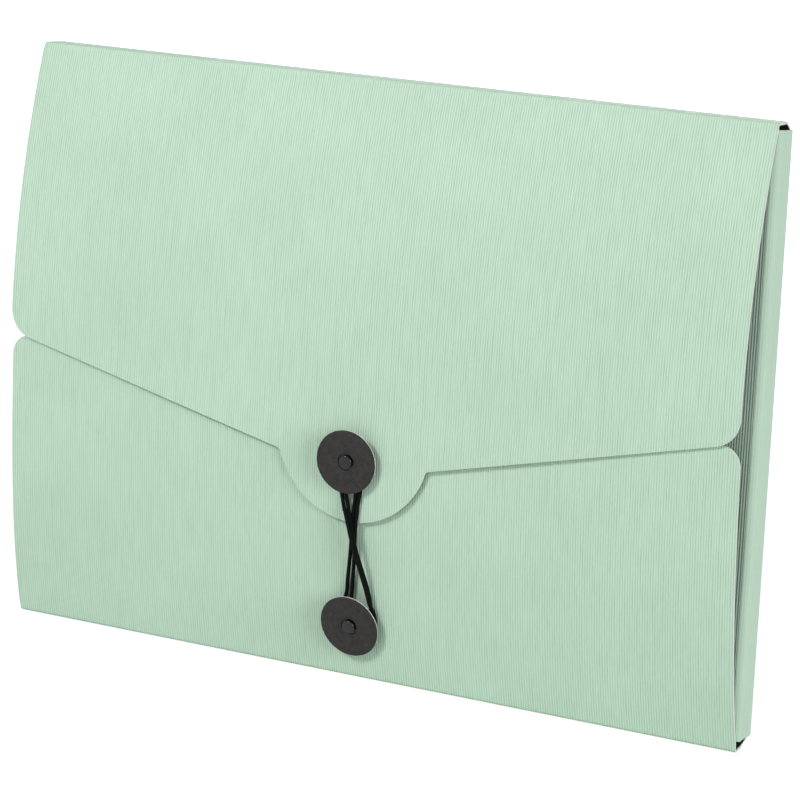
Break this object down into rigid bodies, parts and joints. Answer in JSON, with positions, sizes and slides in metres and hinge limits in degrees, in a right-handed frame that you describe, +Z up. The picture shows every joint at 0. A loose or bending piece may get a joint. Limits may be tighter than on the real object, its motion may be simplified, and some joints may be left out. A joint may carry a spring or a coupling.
{
  "type": "elastic closure folder",
  "caption": "Landscape document folder of ribbed mint card with black lining: folding front and side flaps held shut by an elastic wound round riveted round buttons.",
  "frame": {"origin": "middle of the bottom spine's underside, halfway between the front folds and the back face", "axes": "+X to the right seen from the front, +Y from the front to the back, +Z up; closed and standing on its bottom spine"},
  "size_m": [0.331, 0.0308, 0.23],
  "materials": {
    "mint_card": "fine vertical ribs, matt",
    "black_lining": "matt",
    "black_card": "matt face, pale core at the edge",
    "black_rivet": "glossy black",
    "black_plastic": "matt",
    "black_elastic": "braided cover",
    "crimp_steel": "plain"
  },
  "bodies": {
    "base": {"back_panel": "mint_card", "back_panel_lining": "black_lining", "bottom_spine": "mint_card", "bottom_spine_lining": "black_lining"},
    "top_spine": {"top_spine": "mint_card", "top_spine_lining": "black_lining"},
    "upper_flap": {"upper_flap": "mint_card", "upper_flap_lining": "black_lining", "upper_rivet": "black_rivet", "upper_rivet_cap": "black_rivet", "upper_spacer": "black_plastic", "elastic_cord": "black_elastic", "elastic_sleeve": "crimp_steel"},
    "upper_button": {"upper_button": "black_card"},
    "lower_flap": {"lower_flap": "mint_card", "lower_flap_lining": "black_lining", "lower_rivet": "black_rivet", "lower_rivet_cap": "black_rivet", "lower_spacer": "black_plastic"},
    "lower_button": {"lower_button": "black_card"},
    "left_spine": {"left_spine": "mint_card", "left_spine_lining": "black_lining"},
    "left_side_flap": {"left_side_flap": "mint_card", "left_side_flap_lining": "black_lining"},
    "right_spine": {"right_spine": "mint_card", "right_spine_lining": "black_lining"},
    "right_side_flap": {"right_side_flap": "mint_card", "right_side_flap_lining": "black_lining"}
  },
  "joints": [
    {"name": "upper_flap_fold", "type": "hinge", "parent": "top_spine", "child": "upper_flap", "pos_m": [0, -0.00517, 0.23], "axis": [-1, 0, 0], "range_deg": [0, 90], "deforming": ["elastic_cord"]},
    {"name": "top_spine_fold", "type": "hinge", "parent": "base", "child": "top_spine", "pos_m": [0, 0.00517, 0.23], "axis": [-1, 0, 0], "range_deg": [0, 90]},
    {"name": "lower_flap_fold", "type": "hinge", "parent": "base", "child": "lower_flap", "pos_m": [0, -0.00517, 0], "axis": [1, 0, 0], "range_deg": [0, 70]},
    {"name": "left_spine_fold", "type": "hinge", "parent": "base", "child": "left_spine", "pos_m": [-0.1655, 0.00517, 0.115], "axis": [0, 0, -1], "range_deg": [0, 90]},
    {"name": "left_flap_fold", "type": "hinge", "parent": "left_spine", "child": "left_side_flap", "pos_m": [-0.1655, -0.00517, 0.115], "axis": [0, 0, -1], "range_deg": [0, 90]},
    {"name": "right_spine_fold", "type": "hinge", "parent": "base", "child": "right_spine", "pos_m": [0.1655, 0.00517, 0.115], "axis": [0, 0, 1], "range_deg": [0, 90]},
    {"name": "right_flap_fold", "type": "hinge", "parent": "right_spine", "child": "right_side_flap", "pos_m": [0.1655, -0.00517, 0.115], "axis": [0, 0, 1], "range_deg": [0, 90]},
    {"name": "upper_button_spin", "type": "hinge", "parent": "upper_flap", "child": "upper_button", "pos_m": [0, -0.01879, 0.0868], "axis": [0.1193, -0.9855, -0.1209], "continuous": true},
    {"name": "lower_button_spin", "type": "hinge", "parent": "lower_flap", "child": "lower_button", "pos_m": [0, -0.01016, 0.0228], "axis": [0.0719, -0.9567, -0.282], "continuous": true}
  ],
  "couplings": [
    {"joint": "top_spine_fold", "follows": "upper_flap_fold", "ratio": 1},
    {"joint": "lower_flap_fold", "follows": "upper_flap_fold", "ratio": 0.777},
    {"joint": "left_spine_fold", "follows": "upper_flap_fold", "ratio": 1},
    {"joint": "left_flap_fold", "follows": "upper_flap_fold", "ratio": 1},
    {"joint": "right_spine_fold", "follows": "upper_flap_fold", "ratio": 1},
    {"joint": "right_flap_fold", "follows": "upper_flap_fold", "ratio": 1}
  ]
}
